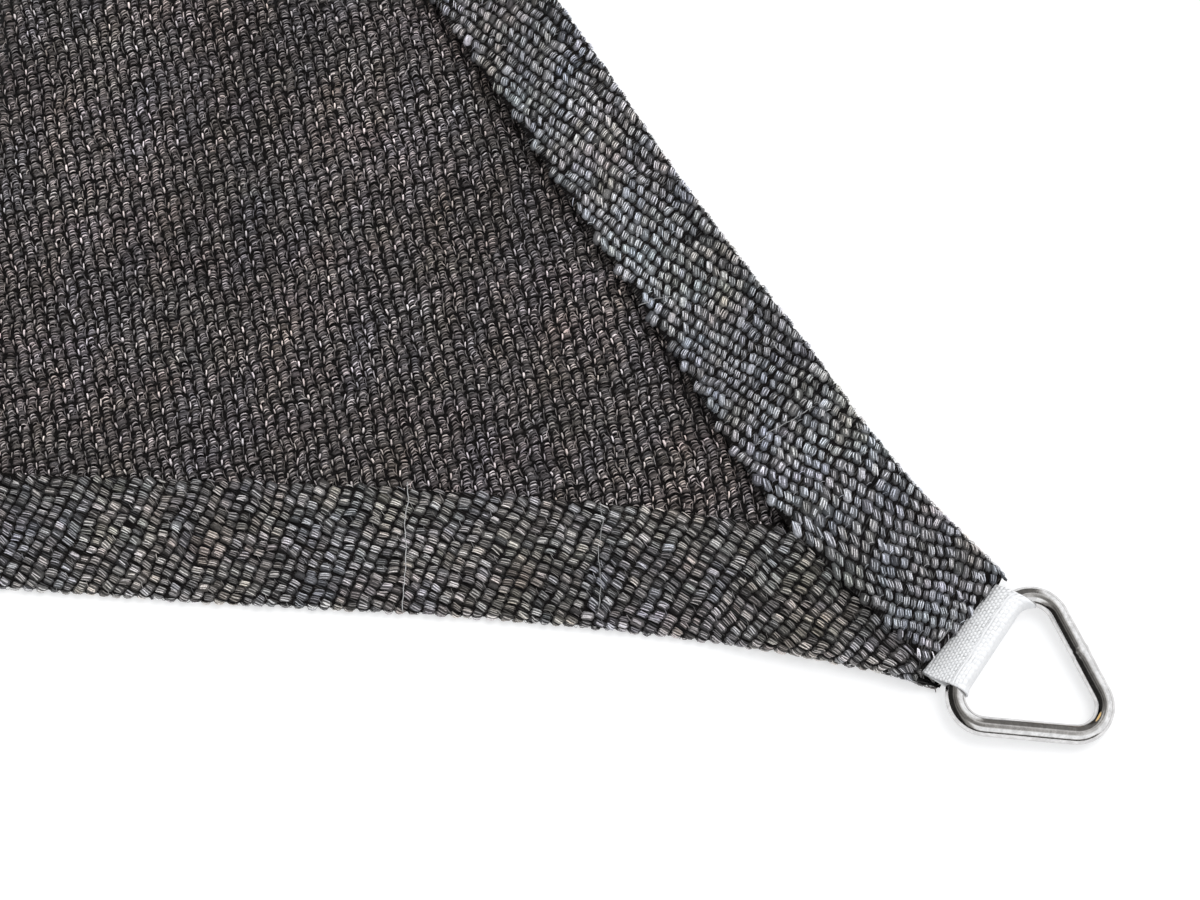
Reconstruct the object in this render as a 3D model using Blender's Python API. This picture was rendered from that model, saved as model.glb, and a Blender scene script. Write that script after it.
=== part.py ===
"""A three-cornered knitted shade sail, laid out flat.

One cloth with turned-over hems, and at each corner a webbing loop that holds a
wire ring. Metres, +Z up, the surface it lies on at Z = 0. The three sides and
the three corners are alike, so one of each is worked out and turned by 120
degrees.
"""
import math

import bmesh
import bpy
from mathutils import Matrix, Vector

# Cloth outline
SIDE = 3.0                          # between the middles of two cloth corners
CORNER_WIDTH = 0.0348               # width of the cloth's cut-off corner
EDGE_SAG = 0.047                    # how far the middle of a side bows inwards
CORNER_TURN = math.radians(8.5)     # further inward turn of a side at its ends
CORNER_REACH = 0.070                # length over which that turn dies away

# Cloth section
CLOTH = 0.0012                      # thickness of one layer
GAP = 0.0003                        # between layers, and between touching pieces
FOLD = CLOTH + GAP / 2              # half the height of a turned-over edge
LEG = 0.006                         # how far a fold's lower leg laps the panel
PANEL_INSET = 0.0008                # panel's outline inside the fold's outline
HEM_CURL = 0.0025                   # most that a hem's free edge lifts
FLAP_SETBACK = 0.006                # slant of the hems' ends across a corner

# Webbing loop
WEBBING_WIDTH = 0.030
WEBBING = 0.0012                    # thickness
WEBBING_SHIFT = -0.001              # to one side of the corner's middle
WEBBING_IN_HEM = 0.036              # length of each leg inside the corner
LOOP_GAP = 0.0005                   # between the loop and the ring's wire

# Ring: a rounded triangle of round wire
WIRE_RADIUS = 0.0026
RING_SIDE = 0.0497                  # centre line, between sharp corners
RING_BEND = 0.0077                  # bend radius of its centre line
RING_TURN = math.radians(-3.6)      # how the ring lies askew
RING_SHIFT = -0.0016                # and to one side
BAR_REACH = 0.0041                  # bar's centre past the cloth's end
BAR_HEIGHT = WEBBING + LOOP_GAP + WIRE_RADIUS

# A side's outline strays from its even bow near its first and its last corner
FIRST_STRAYS = (
    # distance from the corner, outwards
    (0.000, 0.0),
    (0.030, -0.0009),
    (0.088, 0.0024),
    (0.140, 0.0013),
    (0.190, 0.0020),
    (1.000, 0.0),
)
LAST_STRAYS = (
    # distance from the corner, outwards
    (0.000, 0.0),
    (0.014, -0.0011),
    (0.110, -0.0005),
    (0.205, 0.0011),
    (1.000, 0.0),
)

# Hem width: rows of distance from the hem's first corner, and from its last one
HEM_WIDTH = 0.031
FIRST_WIDTHS = (
    # distance, width
    (0.000, 0.0320),
    (0.060, 0.0340),
    (0.130, 0.0305),
    (0.300, HEM_WIDTH),
)
LAST_WIDTHS = (
    # distance, width
    (0.000, 0.0290),
    (0.040, 0.0335),
    (0.150, 0.0335),
    (0.260, HEM_WIDTH),
)

# Lift of a hem's free edge: it stands up along the first part of a side
CURL_ROWS = (
    # distance from the hem's first corner, lift
    (0.040, 0.0005),
    (0.120, HEM_CURL),
    (0.450, HEM_CURL),
    (1.100, 0.0),
)

# Height of a flap's underside: both hems lie on the webbing's legs, and the
# hem at its first corner also crosses the one that ends there
LIES_ON_PANEL = CLOTH + GAP
LIES_ON_WEBBING = CLOTH + 2 * WEBBING + 3 * GAP
LIES_ON_HEM = LIES_ON_WEBBING + CLOTH + GAP
FIRST_LIFTS = (
    # distance from the cut-off corner, height
    (0.040, LIES_ON_HEM),
    (0.060, LIES_ON_PANEL + CLOTH + 2 * GAP),
    (0.085, LIES_ON_PANEL),
)
LAST_LIFTS = (
    # distance from the cut-off corner, height
    (0.040, LIES_ON_WEBBING),
    (0.060, LIES_ON_PANEL),
)

# Facets
STATIONS_PER_HALF = 36              # sections along half a side
STATION_SPREAD = 0.05               # within this length of a corner they are even
SLIVER = 0.00002                    # points this near are one point
FLAP_COLUMNS = 4
FOLD_FACETS = 6
WIRE_SIDES = 12
BEND_FACETS = 16
LOOP_FACETS = 18
WEBBING_COLUMNS = 16

CORNERS = ("right", "back", "left")
BISECTORS = {name: math.radians(-30 + 120 * i) for i, name in enumerate(CORNERS)}
CORNER_RADIUS = SIDE / math.sqrt(3)
CORNER_HALF = CORNER_WIDTH / 2
CHORD = SIDE - 2 * CORNER_HALF * math.sin(math.radians(30))


# ---------------------------------------------------------------- helpers

def clear_scene():
    for old in list(bpy.data.objects):
        bpy.data.objects.remove(old, do_unlink=True)


def material(name, colour, roughness, metallic=0.0):
    made = bpy.data.materials.new(name)
    made.use_nodes = True
    shader = made.node_tree.nodes["Principled BSDF"]
    shader.inputs["Base Color"].default_value = (*colour, 1.0)
    shader.inputs["Roughness"].default_value = roughness
    shader.inputs["Metallic"].default_value = metallic
    return made


def new_object(name, mesh, finish):
    mesh.materials.append(finish)
    made = bpy.data.objects.new(name, mesh)
    bpy.context.scene.collection.objects.link(made)
    return made


def mesh_from(name, points, faces):
    made = bmesh.new()
    corners = [made.verts.new(point) for point in points]
    for face in faces:
        made.faces.new([corners[i] for i in face])
    bmesh.ops.recalc_face_normals(made, faces=made.faces)
    mesh = bpy.data.meshes.new(name)
    made.to_mesh(mesh)
    made.free()
    return mesh


def skinned_faces(sections, size):
    """Quads between neighbouring sections of `size` points, with end caps."""
    faces = []
    for i in range(sections - 1):
        here, there = i * size, (i + 1) * size
        for j in range(size):
            k = (j + 1) % size
            faces.append((here + j, here + k, there + k, there + j))
    faces.append(tuple(range(size)))
    faces.append(tuple(range((sections - 1) * size, sections * size)))
    return faces


def read_rows(rows, at):
    """Eased value of a two-column table at a distance."""
    if at <= rows[0][0]:
        return rows[0][1]
    for (near, low), (far, high) in zip(rows, rows[1:]):
        if at <= far:
            share = (at - near) / (far - near)
            return low + (high - low) * share * share * (3 - 2 * share)
    return rows[-1][1]


def rows_slope(rows, at):
    """Slope of that eased value."""
    for (near, low), (far, high) in zip(rows, rows[1:]):
        if near < at < far:
            share = (at - near) / (far - near)
            return (high - low) / (far - near) * 6 * share * (1 - share)
    return 0.0


# ---------------------------------------------------------------- outline

def corner_point(bisector):
    return Vector((math.cos(bisector), math.sin(bisector))) * CORNER_RADIUS


def corner_depth(point, corner):
    """How far a plan point lies inside a cut-off corner."""
    return (corner_point(BISECTORS[corner]) - point).dot(corner_ways(corner)[0])


def corner_bow(x):
    share = math.erf(x / CORNER_REACH) * math.sqrt(math.pi) / 2
    return math.tan(CORNER_TURN) * CORNER_REACH * share


def edge_dip(x):
    """How far the front side lies inside its chord, x from its left end."""
    if x < 0:
        return edge_slope(0) * x
    if x > CHORD:
        return edge_dip(CHORD) + edge_slope(CHORD) * (x - CHORD)
    sag = 4 * EDGE_SAG * x / CHORD * (1 - x / CHORD)
    sag += corner_bow(x) + corner_bow(CHORD - x) - corner_bow(CHORD)
    return sag - read_rows(FIRST_STRAYS, x) - read_rows(LAST_STRAYS, CHORD - x)


def edge_slope(x):
    x = min(max(x, 0), CHORD)
    sag = 4 * EDGE_SAG / CHORD * (1 - 2 * x / CHORD)
    near = math.exp(-((x / CORNER_REACH) ** 2))
    far = math.exp(-(((CHORD - x) / CORNER_REACH) ** 2))
    sag += math.tan(CORNER_TURN) * (near - far)
    return sag - rows_slope(FIRST_STRAYS, x) + rows_slope(LAST_STRAYS, CHORD - x)


def edge_point(x, inside):
    """Plan point of the front side, `inside` metres in from its outline."""
    start = corner_point(BISECTORS["left"])
    lean = math.radians(-60)
    start = start + Vector((math.cos(lean), math.sin(lean))) * CORNER_HALF
    slope = edge_slope(x)
    inward = Vector((-slope, 1)).normalized()
    return start + Vector((x, edge_dip(x))) + inward * inside


def slid_to_plane(point, x, plane_point, plane_normal):
    """The point moved along the side until it lies in an upright plane."""
    along = Vector((1, edge_slope(x))).normalized()
    return point + along * ((plane_point - point).dot(plane_normal) / along.dot(plane_normal))


def corner_ways(corner):
    """Outward along a corner's bisector, and across it to the left."""
    bisector = BISECTORS[corner]
    outward = Vector((math.cos(bisector), math.sin(bisector)))
    return outward, Vector((-outward.y, outward.x))


def first_end(point, setback=FLAP_SETBACK):
    """On the end plane at the left corner, where this side's hem lies on top."""
    outward, across = corner_ways("left")
    normal = outward * CORNER_WIDTH - across * setback
    return slid_to_plane(point, 0, edge_point(0, 0), normal)


def last_end(point, setback=FLAP_SETBACK):
    """On the end plane at the right corner, set back where this side meets it."""
    outward, across = corner_ways("right")
    normal = outward * CORNER_WIDTH - across * setback
    tip = edge_point(CHORD, 0) - outward * setback
    return slid_to_plane(point, CHORD, tip, normal)


def station_distances():
    """Distances along a side, closer together near both corners."""
    rate = math.asinh(CHORD / 2 / STATION_SPREAD) / STATIONS_PER_HALF
    near = [STATION_SPREAD * math.sinh(rate * i) for i in range(STATIONS_PER_HALF + 1)]
    return near + [CHORD - x for x in reversed(near[:-1])]


# ---------------------------------------------------------------- cloth

def hem_width(x):
    if x < CHORD / 2:
        return read_rows(FIRST_WIDTHS, x)
    return read_rows(LAST_WIDTHS, CHORD - x)


def flap_height(point, x, share):
    """Height of the flap's underside; share 0 at the fold, 1 at its free edge."""
    first = read_rows(FIRST_LIFTS, corner_depth(point, "left"))
    last = read_rows(LAST_LIFTS, corner_depth(point, "right"))
    curl = read_rows(CURL_ROWS, x)
    return max(first, last) + curl * share ** 2


def hem_section(x, place):
    """Closed section of a turned-over hem: lower leg, fold and flap."""
    width = hem_width(x)
    upright = flap_height(place(edge_point(x, FOLD)), x, 0) + CLOTH
    section = [(LEG, 0.0)]
    for i in range(FOLD_FACETS + 1):
        turn = math.pi * i / FOLD_FACETS
        section.append((FOLD * (1 - math.sin(turn)), upright / 2 * (1 - math.cos(turn))))
    flap = []
    for i in range(1, FLAP_COLUMNS + 1):
        share = i / FLAP_COLUMNS
        inside = FOLD + (width - FOLD) * share
        flap.append((inside, flap_height(place(edge_point(x, inside)), x, share)))
    section += [(inside, height + CLOTH) for inside, height in flap]
    section += list(reversed(flap))
    section += [(CLOTH, upright - CLOTH), (CLOTH, CLOTH), (LEG, CLOTH)]
    points = []
    for inside, height in section:
        plan = place(edge_point(x, inside))
        points.append((plan.x, plan.y, height))
    return points


def hem_mesh(turn):
    points = []
    distances = station_distances()
    for x in distances:
        place = {distances[0]: first_end, distances[-1]: last_end}.get(x, lambda p: p)
        points += hem_section(x, place)
    size = len(points) // len(distances)
    mesh = mesh_from("hem", points, skinned_faces(len(distances), size))
    mesh.transform(Matrix.Rotation(turn, 4, "Z"))
    return mesh


def panel_mesh():
    """The single layer inside the folds."""
    distances = station_distances()
    side = [edge_point(x, PANEL_INSET) for x in distances]
    side[0] = first_end(side[0], setback=0)
    side[-1] = last_end(side[-1], setback=0)
    outline = []
    for i in range(3):
        turned = Matrix.Rotation(math.radians(120 * i), 2)
        outline += [turned @ point for point in side]
    points = [(p.x, p.y, z) for z in (0.0, CLOTH) for p in outline]
    return mesh_from("panel", points, skinned_faces(2, len(outline)))


def sail_cloth(finish):
    cloth = new_object("sail_cloth", panel_mesh(), finish)
    for i in range(3):
        cutter = new_object(f"hem_{i}", hem_mesh(math.radians(120 * i)), finish)
        cutter.parent = cloth
        cutter.hide_render = True
        cutter.display_type = "WIRE"
        union = cloth.modifiers.new(f"hem_{i}", "BOOLEAN")
        union.operation = "UNION"
        union.solver = "MANIFOLD"
        union.object = cutter
    weld = cloth.modifiers.new("weld", "WELD")
    weld.merge_threshold = SLIVER
    return cloth


# ---------------------------------------------------------------- webbing

def loop_line():
    """Centre line of the webbing, (x, z) from the bar's centre, top leg first."""
    around = WIRE_RADIUS + LOOP_GAP + WEBBING / 2
    mouth = -BAR_REACH + GAP
    low = CLOTH + GAP + WEBBING / 2 - BAR_HEIGHT
    high = low + WEBBING + GAP
    ends = []
    for level, side in ((high, 1), (low, -1)):
        reach = math.hypot(mouth, level)
        facing = math.atan2(-level, -mouth)
        ends.append(facing + side * math.asin(around / reach))
    first = ends[0] + math.pi / 2
    last = ends[1] - math.pi / 2
    inner = mouth - GAP - WEBBING_IN_HEM
    line = [(inner, high), (mouth, high)]
    for i in range(LOOP_FACETS + 1):
        angle = first + (last - first) * i / LOOP_FACETS
        line.append((math.cos(angle) * around, math.sin(angle) * around))
    line += [(mouth, low), (inner, low)]
    return [(x, z + BAR_HEIGHT) for x, z in line]


def offset_line(line, distance):
    """The line moved sideways by a distance, with mitred bends."""
    moved = []
    for i, here in enumerate(line):
        here = Vector(here)
        before = Vector(line[i - 1]) if i else None
        after = Vector(line[i + 1]) if i + 1 < len(line) else None
        ways = []
        if before is not None:
            ways.append((here - before).normalized())
        if after is not None:
            ways.append((after - here).normalized())
        normals = [Vector((-way.y, way.x)) for way in ways]
        middle = sum(normals, Vector((0, 0))).normalized()
        moved.append(here + middle * (distance / middle.dot(normals[0])))
    return moved


def bar_section(across):
    """The askew bar's middle along X at some place across, and how much wider it is."""
    straight = RING_SIDE / 2 - RING_BEND * math.tan(math.radians(60))
    sides = []
    for radius in (RING_BEND + WIRE_RADIUS, RING_BEND - WIRE_RADIUS):
        bent = 0.0
        for _ in range(5):
            down = (across - bent * math.sin(RING_TURN)) / math.cos(RING_TURN)
            past = max(0.0, abs(down) - straight)
            bent = RING_BEND - math.sqrt(radius**2 - past**2)
        sides.append(bent * math.cos(RING_TURN) - down * math.sin(RING_TURN))
    return (sides[0] + sides[1]) / 2, (sides[1] - sides[0]) / 2 / WIRE_RADIUS


def webbing_mesh():
    """The strip's section, swept across; only the loop follows the askew ring."""
    line = loop_line()
    outside = offset_line(line, WEBBING / 2)
    inside = offset_line(line, -WEBBING / 2)
    legs = (0, 1, len(line) - 2, len(line) - 1)
    section = list(zip(outside, range(len(line))))
    section += reversed(list(zip(inside, range(len(line)))))
    points = []
    for column in range(WEBBING_COLUMNS + 1):
        across = WEBBING_SHIFT + WEBBING_WIDTH * (column / WEBBING_COLUMNS - 0.5)
        middle, wider = bar_section(across - RING_SHIFT)
        for point, i in section:
            x = point.x if i in legs else point.x * wider + middle
            points.append((BAR_REACH + x, across, point.y))
    return mesh_from("webbing_loop", points, skinned_faces(WEBBING_COLUMNS + 1, len(section)))


# ---------------------------------------------------------------- ring

def ring_line():
    """Closed centre line of the ring, its bar on X = 0 and its tip at +X."""
    bends = (
        # corner, first direction of travel
        (Vector((0.0, -RING_SIDE / 2)), math.radians(-90)),
        (Vector((RING_SIDE * math.sin(math.radians(60)), 0.0)), math.radians(30)),
        (Vector((0.0, RING_SIDE / 2)), math.radians(150)),
    )
    line = []
    for corner, heading in bends:
        middle_way = heading + math.radians(60) + math.pi / 2
        centre = corner + Vector((math.cos(middle_way), math.sin(middle_way))) * RING_BEND * 2
        for i in range(BEND_FACETS + 1):
            angle = heading - math.pi / 2 + math.radians(120) * i / BEND_FACETS
            line.append(centre + Vector((math.cos(angle), math.sin(angle))) * RING_BEND)
    return line


def ring_curve():
    line = ring_line()
    curve = bpy.data.curves.new("ring", "CURVE")
    curve.dimensions = "3D"
    curve.bevel_depth = WIRE_RADIUS
    curve.bevel_resolution = (WIRE_SIDES - 4) // 2
    spline = curve.splines.new("POLY")
    spline.points.add(len(line) - 1)
    for point, place in zip(spline.points, line):
        point.co = (place.x, place.y, 0.0, 1.0)
    spline.use_cyclic_u = True
    return curve


def ring_tilt():
    """Tilt that brings the tip down to the surface from the bar on its webbing."""
    tip = RING_SIDE * math.sin(math.radians(60)) - RING_BEND
    return math.asin((BAR_HEIGHT - WIRE_RADIUS) / tip)


# ---------------------------------------------------------------- the sail

def build():
    clear_scene()
    knit = material("charcoal_knit", (0.075, 0.068, 0.068), 0.75)
    white_webbing = material("white_webbing", (0.86, 0.86, 0.85), 0.7)
    steel = material("polished_steel", (0.66, 0.65, 0.63), 0.18, 1.0)

    origin = bpy.data.objects.new("sail_origin", None)
    bpy.context.scene.collection.objects.link(origin)
    cloth = sail_cloth(knit)
    cloth.parent = origin

    loop = webbing_mesh()
    wire = ring_curve()
    for name, bisector in BISECTORS.items():
        outward = Matrix.Rotation(bisector, 4, "Z")
        corner = Matrix.Translation(corner_point(bisector).to_3d()) @ outward
        webbing = new_object(f"webbing_{name}", loop.copy(), white_webbing)
        webbing.parent = origin
        webbing.matrix_basis = corner
        ring = new_object(f"ring_{name}", wire.copy(), steel)
        ring.parent = origin
        bar = Matrix.Translation((BAR_REACH, RING_SHIFT, BAR_HEIGHT))
        askew = Matrix.Rotation(RING_TURN, 4, "Z") @ Matrix.Rotation(ring_tilt(), 4, "Y")
        ring.matrix_basis = corner @ bar @ askew

    centre_on(origin)


def centre_on(origin):
    """Brings the middle of everything that shows over the frame's origin."""
    bpy.context.view_layer.update()
    view = bpy.context.evaluated_depsgraph_get()
    places = []
    for shown in bpy.data.objects:
        if shown.type == "EMPTY" or shown.hide_render:
            continue
        mesh = shown.evaluated_get(view).to_mesh()
        places += [shown.matrix_world @ vertex.co for vertex in mesh.vertices]
    for axis in (0, 1):
        values = [place[axis] for place in places]
        origin.location[axis] = -(min(values) + max(values)) / 2


build()
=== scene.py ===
"""Looks of a three-cornered knitted shade sail that lies flat on a pale floor.

The cloth is one thin folded sheet with a charted knit. Near the right corner, which
the camera looks at, each stitch is a strand of its own. Webbing loops and wire rings
sit at the three corners. Metres, +Z up. Plan points are arrays of two columns, from
the sail's middle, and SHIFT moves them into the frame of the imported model. The front
side runs along +X from the left corner to the right one; side 1 and side 2 are the
same line turned by 120 and 240 degrees.
"""
import math

import bpy
import numpy as np
from mathutils import Matrix, Vector


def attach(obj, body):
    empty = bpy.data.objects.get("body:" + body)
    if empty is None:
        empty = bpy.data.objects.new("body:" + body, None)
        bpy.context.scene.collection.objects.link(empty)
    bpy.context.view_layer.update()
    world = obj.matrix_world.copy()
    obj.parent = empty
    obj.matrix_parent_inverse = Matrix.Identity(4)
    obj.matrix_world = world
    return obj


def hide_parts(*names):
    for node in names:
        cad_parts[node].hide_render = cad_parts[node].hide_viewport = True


MM = 0.001
UP = np.array((0.0, 0.0, 1.0))

# ---- sizes of the solids
SIDE = 3.0                          # between the middles of two cloth corners
CORNER_WIDTH = 0.0348               # width of the cloth's cut-off corner
EDGE_SAG = 0.047                    # how far the middle of a side bows inwards
CORNER_TURN = math.radians(8.5)     # further inward turn of a side at its ends
CORNER_REACH = 0.070                # length over which that turn dies away
CLOTH = 0.0012                      # thickness of one layer
GAP = 0.0003
FOLD = CLOTH + GAP / 2              # half the height of a turned-over edge
HEM_CURL = 0.0025                   # most that a hem's free edge lifts
FLAP_SETBACK = 0.006                # slant of the hems' ends across a corner
WEBBING_WIDTH = 0.030
WEBBING = 0.0012
WEBBING_SHIFT = -0.001
WEBBING_IN_HEM = 0.036
LOOP_GAP = 0.0005
THIN = 0.0009                       # the shown webbing's thickness
HUG = 0.0001                        # its distance from the wire
WIRE_RADIUS = 0.0026
RING_SIDE = 0.0497
RING_BEND = 0.0077
RING_TURN = math.radians(-3.6)
RING_SHIFT = -0.0016
BAR_REACH = 0.0041
BAR_HEIGHT = WEBBING + LOOP_GAP + WIRE_RADIUS
FIRST_STRAYS = (
    # distance from a side's first corner, how far its outline strays outwards
    (0.000, 0.0),
    (0.030, -0.0009),
    (0.088, 0.0024),
    (0.140, 0.0013),
    (0.190, 0.0020),
    (1.000, 0.0),
)
LAST_STRAYS = (
    # distance from a side's last corner, how far its outline strays outwards
    (0.000, 0.0),
    (0.014, -0.0011),
    (0.110, -0.0005),
    (0.205, 0.0011),
    (1.000, 0.0),
)
HEM_WIDTH = 0.031
FIRST_WIDTHS = (
    # distance from the hem's first corner, width
    (0.000, 0.0320),
    (0.060, 0.0340),
    (0.130, 0.0305),
    (0.300, HEM_WIDTH),
)
LAST_WIDTHS = (
    # distance from the hem's last corner, width
    (0.000, 0.0290),
    (0.040, 0.0335),
    (0.150, 0.0335),
    (0.260, HEM_WIDTH),
)
CURL_ROWS = (
    # distance from the hem's first corner, lift of its free edge
    (0.040, 0.0005),
    (0.120, HEM_CURL),
    (0.450, HEM_CURL),
    (1.100, 0.0),
)
LIES_ON_PANEL = CLOTH + GAP
LIES_ON_WEBBING = CLOTH + 2 * WEBBING + 3 * GAP
LIES_ON_HEM = LIES_ON_WEBBING + CLOTH + GAP
FIRST_LIFTS = (
    # distance from the cut-off corner, height of the flap's underside
    (0.040, LIES_ON_HEM),
    (0.060, LIES_ON_PANEL + CLOTH + 2 * GAP),
    (0.085, LIES_ON_PANEL),
)
LAST_LIFTS = (
    # distance from the cut-off corner, height of the flap's underside
    (0.040, LIES_ON_WEBBING),
    (0.060, LIES_ON_PANEL),
)
CORNERS = ("right", "back", "left")
BISECTORS = {name: math.radians(-30 + 120 * i) for i, name in enumerate(CORNERS)}
CORNER_RADIUS = SIDE / math.sqrt(3)
CORNER_HALF = CORNER_WIDTH / 2
CHORD = SIDE - 2 * CORNER_HALF * math.sin(math.radians(30))
SHIFT = np.array((1.68 * MM, -439.49 * MM, 0.0))  # from the plan to the model's frame

# ---- knit
WALE = 3.19 * MM                    # from one column of stitches to the next
COURSE = 4.6 * MM                   # from one stitch to the next up a column
WALE_WAY = math.radians(105.3)      # a column's direction on the cloth
SKIN = 0.4 * MM                     # how far the shown sheet's faces lie inside the solid's
SEED = 7

# The strands cover a rectangle round the right corner, from its middle
NEAR_X = (-0.276, 0.030)
NEAR_Y = (-0.060, 0.192)
NEAR_FADE = 0.012                   # strands thin out over this width inside it


# ---- plan of one side
erf = np.vectorize(math.erf, otypes=[float])


def bracket(rows, at):
    """The value, rise, length and share passed of the table's steps at some distances."""
    at = np.asarray(at, float)
    places, values = np.array(rows).T
    i = np.clip(np.searchsorted(places, at) - 1, 0, len(rows) - 2)
    long = places[i + 1] - places[i]
    return values[i], values[i + 1] - values[i], long, np.clip((at - places[i]) / long, 0, 1)


def read_rows(rows, at):
    """Eased values of a two-column table at some distances."""
    value, rise, _, share = bracket(rows, at)
    return value + rise * share * share * (3 - 2 * share)


def rows_slope(rows, at):
    """Slopes of those eased values."""
    _, rise, long, share = bracket(rows, at)
    return rise / long * 6 * share * (1 - share)


def heading(angle):
    return np.array((math.cos(angle), math.sin(angle)))


def left_of(ways):
    return np.stack((-ways[..., 1], ways[..., 0]), -1)


def unit(ways):
    return ways / np.linalg.norm(ways, axis=-1, keepdims=True)


def turned(points, angle):
    c, s = math.cos(angle), math.sin(angle)
    return points @ np.array(((c, s), (-s, c)))


def corner_middle(corner):
    return heading(BISECTORS[corner]) * CORNER_RADIUS


def corner_ways(corner):
    """Outward along a corner's bisector, and across it to the left."""
    outward = heading(BISECTORS[corner])
    return outward, left_of(outward)


def corner_depth(points, corner):
    return (corner_middle(corner) - points) @ corner_ways(corner)[0]


def corner_bow(x):
    return math.tan(CORNER_TURN) * CORNER_REACH * erf(x / CORNER_REACH) * math.sqrt(math.pi) / 2


def edge_slope(x):
    x = np.clip(x, 0, CHORD)
    near = np.exp(-((x / CORNER_REACH) ** 2))
    far = np.exp(-(((CHORD - x) / CORNER_REACH) ** 2))
    slope = 4 * EDGE_SAG / CHORD * (1 - 2 * x / CHORD) + math.tan(CORNER_TURN) * (near - far)
    return slope - rows_slope(FIRST_STRAYS, x) + rows_slope(LAST_STRAYS, CHORD - x)


def edge_dip(x):
    """How far the front side lies inside its chord, x from its left end."""
    held = np.clip(x, 0, CHORD)
    sag = 4 * EDGE_SAG * held / CHORD * (1 - held / CHORD)
    dip = sag + corner_bow(held) + corner_bow(CHORD - held) - corner_bow(CHORD)
    dip = dip - read_rows(FIRST_STRAYS, held) - read_rows(LAST_STRAYS, CHORD - held)
    return dip + edge_slope(x) * (x - held)


SIDE_START = corner_middle("left") + turned(np.array((CORNER_HALF, 0.0)), math.radians(-60))


def edge_frame(x):
    """Points of the front side's outline, and its ways along and inward."""
    slope = edge_slope(x)
    long = np.sqrt(1 + slope**2)
    along = np.stack((1 / long, slope / long), -1)
    return SIDE_START + np.stack((x, edge_dip(x)), -1), along, left_of(along)


def edge_point(x, inside):
    point, _, inward = edge_frame(x)
    return point + inward * np.asarray(inside)[..., None]


def on_side(points):
    """Distance along the front side's chord, and how far inside it each point lies."""
    x = points[..., 0] - SIDE_START[0]
    for _ in range(4):
        point, along, inward = edge_frame(x)
        x = x + ((points - point) * along).sum(-1)
    point, along, inward = edge_frame(x)
    return x, ((points - point) * inward).sum(-1)


def hem_width(x):
    near, far = read_rows(FIRST_WIDTHS, x), read_rows(LAST_WIDTHS, CHORD - x)
    return np.where(x < CHORD / 2, near, far)


def flap_height(points, x, share):
    """Height of the flap's underside; share 0 at the fold, 1 at its free edge."""
    first = read_rows(FIRST_LIFTS, corner_depth(points, "left"))
    last = read_rows(LAST_LIFTS, corner_depth(points, "right"))
    return np.maximum(first, last) + read_rows(CURL_ROWS, x) * share**2


def end_plane(corner, setback=FLAP_SETBACK):
    """A point and the outward normal of the upright plane that cuts both hems off."""
    outward, across = corner_ways(corner)
    tip = edge_point(0.0, 0.0) if corner == "left" else edge_point(CHORD, 0.0) - outward * setback
    return tip, outward * CORNER_WIDTH - across * setback


def past_end(points, setback=FLAP_SETBACK):
    """How far front-frame points lie past the front hem's ends, or past its foot at 0."""
    past = []
    for corner in ("left", "right"):
        tip, normal = end_plane(corner, setback)
        past.append((points - tip) @ (normal / np.linalg.norm(normal)))
    return np.maximum(*past)


# ---- surfaces of the cloth
def fold_height(x):
    """Height of the turned-over edge at its fold."""
    return flap_height(edge_point(x, np.full_like(x, FOLD)), x, 0.0) + CLOTH


def fold_length(upright):
    """Length of the fold's outside, which is half an ellipse."""
    return math.pi * np.sqrt((FOLD**2 + (upright / 2) ** 2) / 2)


def hem_place(x, run, rise):
    """Front-frame points `rise` over a hem's outer face, `run` from the fold's foot."""
    upright = fold_height(x)
    arc = fold_length(upright)
    turn = np.clip(run / arc, 0, 1) * math.pi
    sine, cosine = np.sin(turn), np.cos(turn)
    inside = FOLD * (1 - sine) + np.where(run > arc, run - arc, 0) + np.where(run < 0, -run, 0)
    width = hem_width(x)
    share = np.clip((inside - FOLD) / (width - FOLD), 0, 1.1) * (run > arc)
    flat = edge_point(x, inside)
    on_flap = flap_height(flat, x, share) + CLOTH + crease(x, inside)
    height = np.where(run > arc, on_flap, upright / 2 * (1 - cosine))
    normal_in, normal_up = -sine / FOLD, -cosine / (upright / 2)
    size = np.hypot(normal_in, normal_up)
    inside = inside + rise * normal_in / size
    plan = edge_point(x, inside)
    return np.concatenate((plan, (height + rise * normal_up / size)[..., None]), -1)


CREASE_ROWS = (
    # distance from the hem's first corner, how much of the crease is there
    (0.05, 0.0),
    (0.09, 1.0),
    (0.40, 1.0),
    (0.60, 0.0),
)
CREASE_IN = 5.0 * MM                # from the fold to the crease
CREASE_SWAY = 0.5 * MM
CREASE_WIDTH = 1.0 * MM
CREASE_DEPTH = 0.55 * MM


def in_crease(x, inside):
    """1 in the trough that runs along a hem beside its fold, near its first corner."""
    middle = CREASE_IN + CREASE_SWAY * np.sin(x / 0.021)
    return read_rows(CREASE_ROWS, x) * np.exp(-(((inside - middle) / CREASE_WIDTH) ** 2))


def crease(x, inside):
    return -CREASE_DEPTH * in_crease(x, inside)


PANEL_WAVES = (
    # middle x and y from the right corner, way, wave length, height, reach
    (-0.150, 0.050, math.radians(20), 0.075, 0.35 * MM, 0.10),
    (-0.230, 0.110, math.radians(-65), 0.060, 0.30 * MM, 0.09),
    (-0.080, 0.030, math.radians(75), 0.050, 0.25 * MM, 0.05),
)


def panel_lift(points):
    """How far the flat cloth stands off the floor in its soft waves."""
    lift = np.zeros(points.shape[:-1])
    for x, y, way, length, height, reach in PANEL_WAVES:
        off = points - corner_middle("right") - np.array((x, y))
        wave = 1 + np.sin(off @ heading(way) * 2 * math.pi / length)
        lift += height / 2 * wave * np.exp(-((off**2).sum(-1)) / reach**2)
    return lift


def knit_ways():
    """Along the knit's rows and up its columns."""
    up = heading(WALE_WAY)
    return -left_of(up), up


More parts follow.
